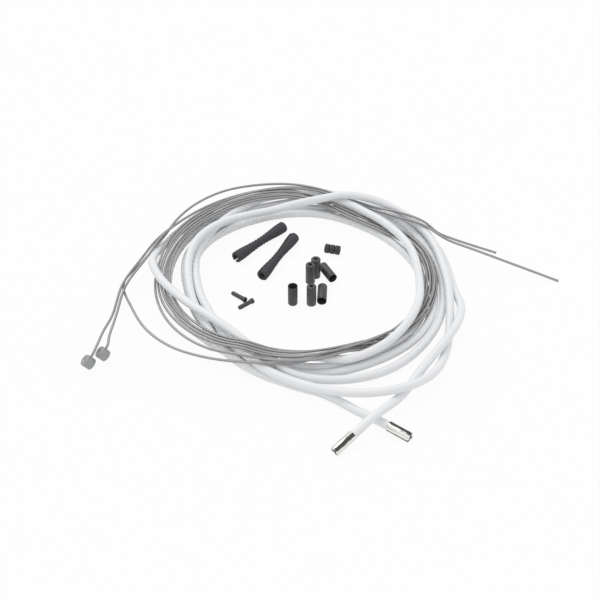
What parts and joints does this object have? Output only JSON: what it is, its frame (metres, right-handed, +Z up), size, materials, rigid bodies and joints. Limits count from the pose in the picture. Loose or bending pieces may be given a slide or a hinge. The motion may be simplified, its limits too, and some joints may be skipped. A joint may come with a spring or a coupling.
{
  "type": "bicycle brake cable set",
  "caption": "Coiled brake housing with two stranded inner wires, barrel heads, end ferrules, frame guards, cable rings and wire end caps.",
  "frame": {"origin": "middle of the bounding box on the surface the set lies on", "axes": "+Z up from the surface the set lies on, +X along the longest extent towards the wires' bare tails, and the housing's two ends point to -Y"},
  "size_m": [0.2812, 0.2338, 0.018],
  "materials": {
    "housing": "semi-gloss white",
    "wire": "stranded, bare",
    "head": "dull grey cast",
    "plated_ferrule": "bright plated",
    "black_plastic": "satin",
    "black_rubber": "matt"
  },
  "bodies": {
    "root": {"outer_housing": "housing", "inner_wire_long": "wire", "inner_wire_short": "wire", "barrel_head_front": "head", "barrel_head_back": "head", "housing_ferrule_right": "plated_ferrule", "housing_ferrule_left": "plated_ferrule", "ferrule_1": "black_plastic", "ferrule_2": "black_plastic", "ferrule_3": "black_plastic", "ferrule_4": "black_plastic", "ferrule_5": "black_plastic", "ferrule_6": "black_plastic", "wire_end_cap_1": "black_plastic", "wire_end_cap_2": "black_plastic", "frame_guard_1": "black_rubber", "frame_guard_2": "black_rubber", "cable_ring_1": "black_rubber", "cable_ring_2": "black_rubber", "cable_ring_3": "black_rubber"}
  },
  "joints": []
}
